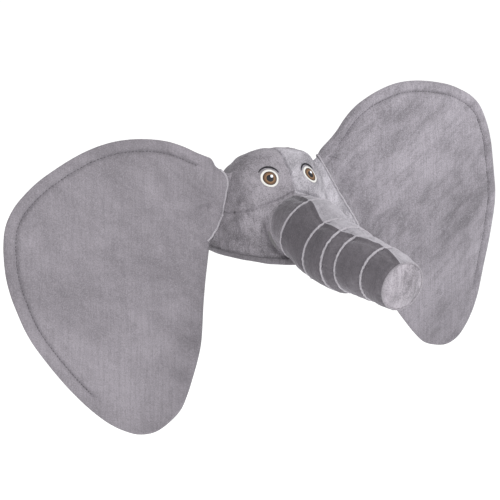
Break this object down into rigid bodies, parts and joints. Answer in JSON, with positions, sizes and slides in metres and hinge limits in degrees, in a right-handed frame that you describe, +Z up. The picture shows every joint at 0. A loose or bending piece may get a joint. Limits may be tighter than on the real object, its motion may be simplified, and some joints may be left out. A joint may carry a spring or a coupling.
{
  "type": "plush elephant head hat",
  "caption": "Padded plush cap shaped as an elephant's head, with two large flat wired ears and a stuffed ringed trunk.",
  "frame": {"origin": "centre of the head opening, in the plane of the cap's rim", "axes": "+Z up through the crown; the face and trunk look along -Y; +X is the elephant's left ear"},
  "size_m": [0.88, 0.4281, 0.499],
  "materials": {
    "plush_grey": "matte",
    "ear_plush": "matte",
    "trunk_plush": "matte",
    "tip_plush": "matte",
    "tuck_light": "matte",
    "hem_dark": "matte",
    "filling": "matte",
    "lining": "satin",
    "tape_white": "satin",
    "eye_print": "satin",
    "lash_black": "satin",
    "steel_wire": "satin"
  },
  "bodies": {
    "cap": {"forehead_panel_right": "plush_grey", "cheek_panel_right": "plush_grey", "back_panel_right": "plush_grey", "ear_gusset_right": "plush_grey", "eye_right": "eye_print", "brow_right": "lash_black", "forehead_panel_left": "plush_grey", "cheek_panel_left": "plush_grey", "back_panel_left": "plush_grey", "ear_gusset_left": "plush_grey", "eye_left": "eye_print", "brow_left": "lash_black", "crown_padding": "filling", "crown_lining": "lining", "hem_band": "hem_dark", "elastic_band": "tape_white", "care_label": "tape_white", "trunk_base_pad": "filling", "trunk_base_welt": "tuck_light"},
    "ear_right": {"ear_front_panel_right": "ear_plush", "ear_back_panel_right": "ear_plush", "ear_batting_right": "filling", "ear_wire_right": "steel_wire", "ear_wire_casing_right": "tape_white"},
    "ear_left": {"ear_front_panel_left": "ear_plush", "ear_back_panel_left": "ear_plush", "ear_batting_left": "filling", "ear_wire_left": "steel_wire", "ear_wire_casing_left": "tape_white"},
    "trunk_1": {"trunk_skin_1": "trunk_plush", "trunk_filling_1": "filling", "ring_tuck_1": "tuck_light"},
    "trunk_2": {"trunk_skin_2": "trunk_plush", "trunk_filling_2": "filling", "ring_tuck_2": "tuck_light"},
    "trunk_3": {"trunk_skin_3": "trunk_plush", "trunk_filling_3": "filling", "ring_tuck_3": "tuck_light", "ring_tuck_middle": "tuck_light"},
    "trunk_4": {"trunk_skin_4": "trunk_plush", "trunk_filling_4": "filling", "ring_tuck_4": "tuck_light"},
    "trunk_5": {"trunk_skin_5": "trunk_plush", "trunk_filling_5": "filling", "trunk_tip_disc": "tip_plush", "trunk_tip_welt": "tuck_light"}
  },
  "joints": [
    {"name": "ear_flap_right", "type": "hinge", "parent": "cap", "child": "ear_right", "pos_m": [-0.082, 0, 0.146], "axis": [0.2175, -0.0256, 0.9757], "range_deg": [-50, 50]},
    {"name": "ear_flap_left", "type": "hinge", "parent": "cap", "child": "ear_left", "pos_m": [0.082, 0, 0.146], "axis": [0.5319, -0.0838, -0.8427], "range_deg": [-50, 50]},
    {"name": "trunk_swing", "type": "hinge", "parent": "cap", "child": "trunk_1", "pos_m": [0, -0.078, 0.057], "axis": [0, 0, 1], "range_deg": [-10, 10], "stiffness_Nm_per_rad": 1.5},
    {"name": "trunk_bend_1", "type": "hinge", "parent": "trunk_1", "child": "trunk_2", "pos_m": [0, -0.1, 0.055], "axis": [-1, 0, 0], "range_deg": [-12, 12], "stiffness_Nm_per_rad": 1.5},
    {"name": "trunk_bend_2", "type": "hinge", "parent": "trunk_2", "child": "trunk_3", "pos_m": [0, -0.154, 0.035], "axis": [-1, 0, 0], "range_deg": [-12, 12], "stiffness_Nm_per_rad": 1.5},
    {"name": "trunk_bend_3", "type": "hinge", "parent": "trunk_3", "child": "trunk_4", "pos_m": [0, -0.216, 0.025], "axis": [-1, 0, 0], "range_deg": [-12, 12], "stiffness_Nm_per_rad": 1.5},
    {"name": "trunk_bend_4", "type": "hinge", "parent": "trunk_4", "child": "trunk_5", "pos_m": [0, -0.269, 0.02], "axis": [-1, 0, 0], "range_deg": [-12, 12], "stiffness_Nm_per_rad": 1.5}
  ],
  "couplings": [
    {"joint": "trunk_bend_2", "follows": "trunk_bend_1", "ratio": 1},
    {"joint": "trunk_bend_3", "follows": "trunk_bend_1", "ratio": 1},
    {"joint": "trunk_bend_4", "follows": "trunk_bend_1", "ratio": 1}
  ]
}
